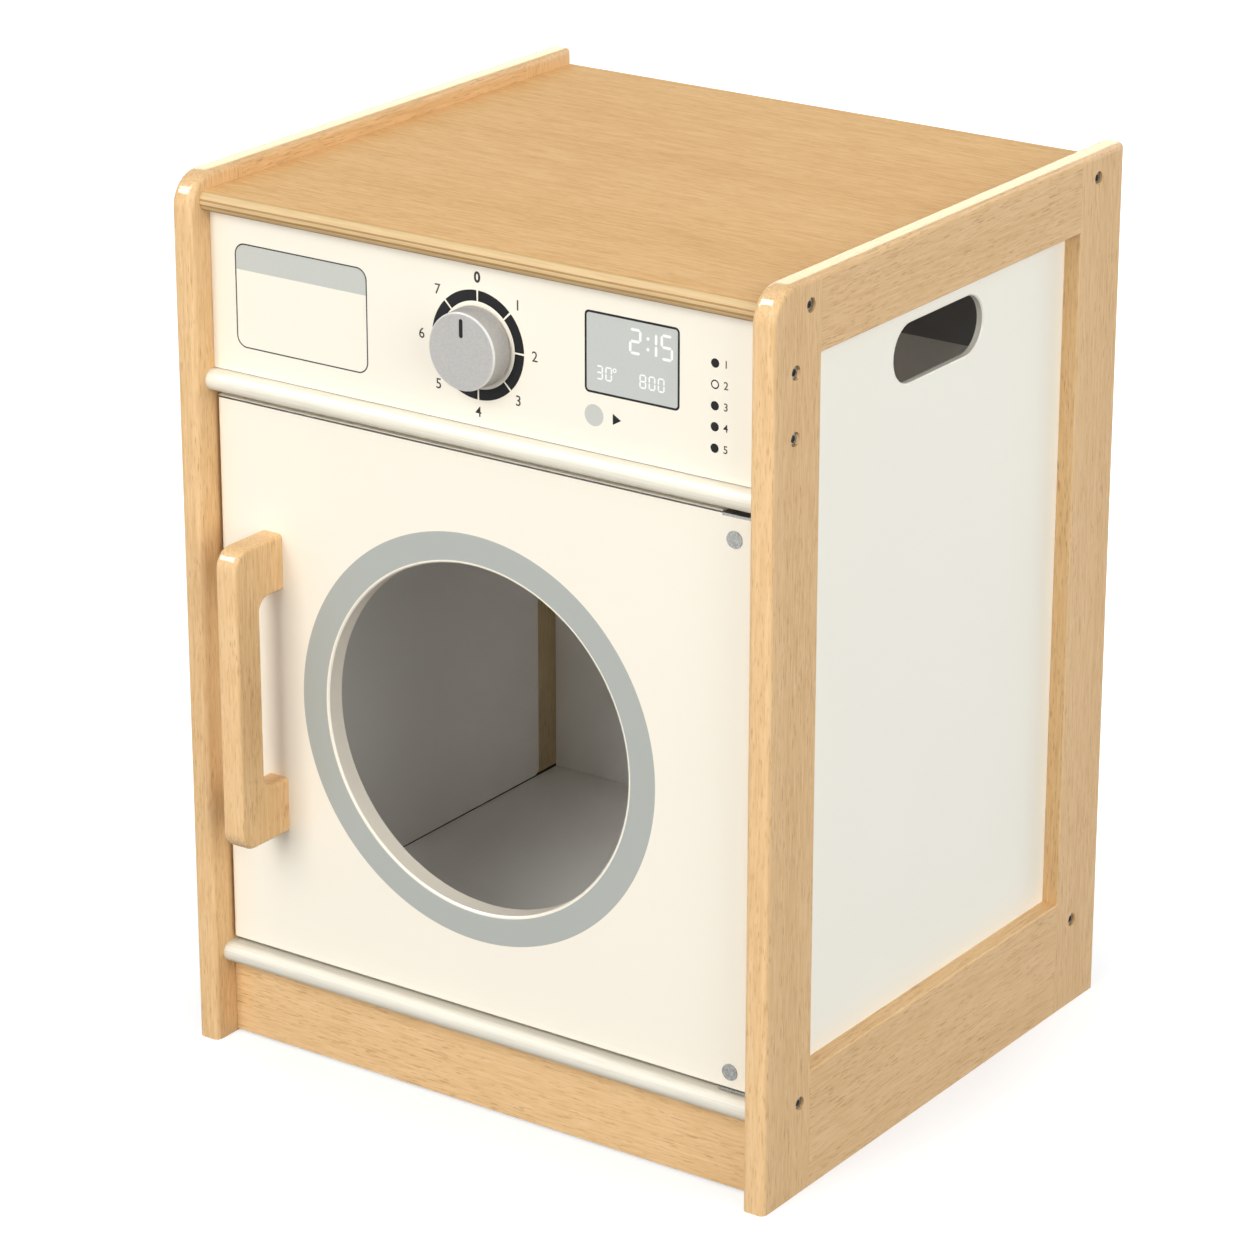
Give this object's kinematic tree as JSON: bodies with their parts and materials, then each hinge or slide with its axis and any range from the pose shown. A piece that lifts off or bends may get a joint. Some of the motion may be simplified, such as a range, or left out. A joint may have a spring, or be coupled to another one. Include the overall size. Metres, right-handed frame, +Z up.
{
  "type": "toy washing machine",
  "caption": "Wooden role-play washing machine with framed sides, a hinged front door with a round window opening, a handle and a turning dial.",
  "frame": {"origin": "on the floor, under the middle of the whole machine", "axes": "+Z up, -Y out of the front (the door and dial side), +X to the right seen from the front"},
  "size_m": [0.41, 0.397, 0.54],
  "materials": {
    "beech": "lacquered solid beech, satin, fine short pores along the grain",
    "plywood": "lacquered beech-faced plywood with its layers open along the rounded nose",
    "white_paint": "warm white satin paint on board; the grey ring and the panel print lie on it",
    "grey_plastic": "light grey moulded plastic, fine satin",
    "steel": "zinc-plated steel, dull bright",
    "nylon": "natural white nylon",
    "magnet": "dark sintered magnet bar"
  },
  "bodies": {
    "cabinet": {"left_front_stile": "beech", "left_back_stile": "beech", "left_top_rail": "beech", "left_bottom_rail": "beech", "left_side_panel": "white_paint", "right_front_stile": "beech", "right_back_stile": "beech", "right_top_rail": "beech", "right_bottom_rail": "beech", "right_side_panel": "white_paint", "frame_dowels": "beech", "top_board": "plywood", "fascia": "white_paint", "fascia_shelf": "white_paint", "fascia_dowels": "beech", "lower_shelf": "white_paint", "plinth": "beech", "plinth_dowels": "beech", "back_panel": "white_paint", "frame_bolts": "steel", "barrel_nuts": "steel", "hinge_bushes": "nylon", "dial_bush": "nylon", "click_spring": "steel", "spring_screw": "steel", "catch_body": "nylon", "catch_magnet": "magnet", "catch_screws": "steel"},
    "door": {"door_panel": "white_paint", "door_handle": "beech", "handle_screws": "steel", "upper_hinge_bracket": "steel", "lower_hinge_bracket": "steel", "hinge_pins": "steel", "hinge_bolts": "steel", "hinge_nuts": "steel", "strike_plate": "steel", "strike_screw": "steel"},
    "dial": {"dial_knob": "grey_plastic", "dial_spindle": "steel", "click_wheel": "nylon", "spindle_washer": "steel", "spindle_nut": "steel"}
  },
  "joints": [
    {"name": "door_hinge", "type": "hinge", "parent": "cabinet", "child": "door", "pos_m": [0.178, -0.1455, 0.235], "axis": [0, 0, 1], "range_deg": [0, 93]},
    {"name": "dial_turn", "type": "hinge", "parent": "cabinet", "child": "dial", "pos_m": [0, -0.1555, 0.471], "axis": [0, 1, 0], "continuous": true, "deforming": ["click_spring"]}
  ]
}
